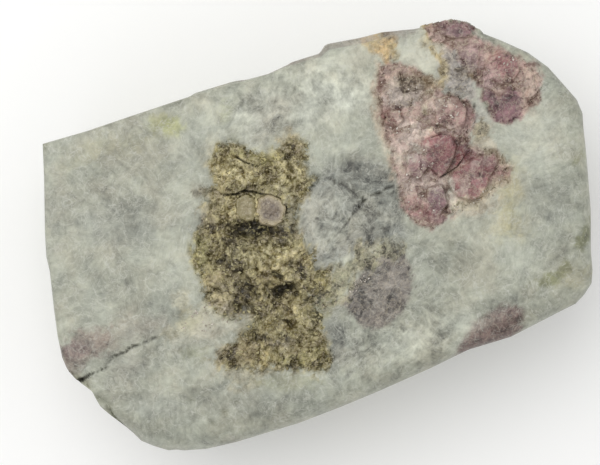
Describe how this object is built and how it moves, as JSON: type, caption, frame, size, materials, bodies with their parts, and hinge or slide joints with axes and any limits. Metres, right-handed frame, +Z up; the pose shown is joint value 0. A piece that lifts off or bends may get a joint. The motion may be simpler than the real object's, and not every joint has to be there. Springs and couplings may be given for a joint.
{
  "type": "tourmaline",
  "caption": "Ground block of pale rock with broken pink tourmaline and a hollow of mica in its face, lying on its sawn back.",
  "frame": {"origin": "middle of the bounding box, on the ground under the sawn back", "axes": "+X along the length of the block, +Y towards its far side (the picture's top), +Z up through the ground front face"},
  "size_m": [0.0991, 0.0609, 0.0348],
  "materials": {
    "rock": "ground and slightly worn, with pink, olive and gold patches"
  },
  "bodies": {
    "root": {"tourmaline_stone": "rock"}
  },
  "joints": []
}
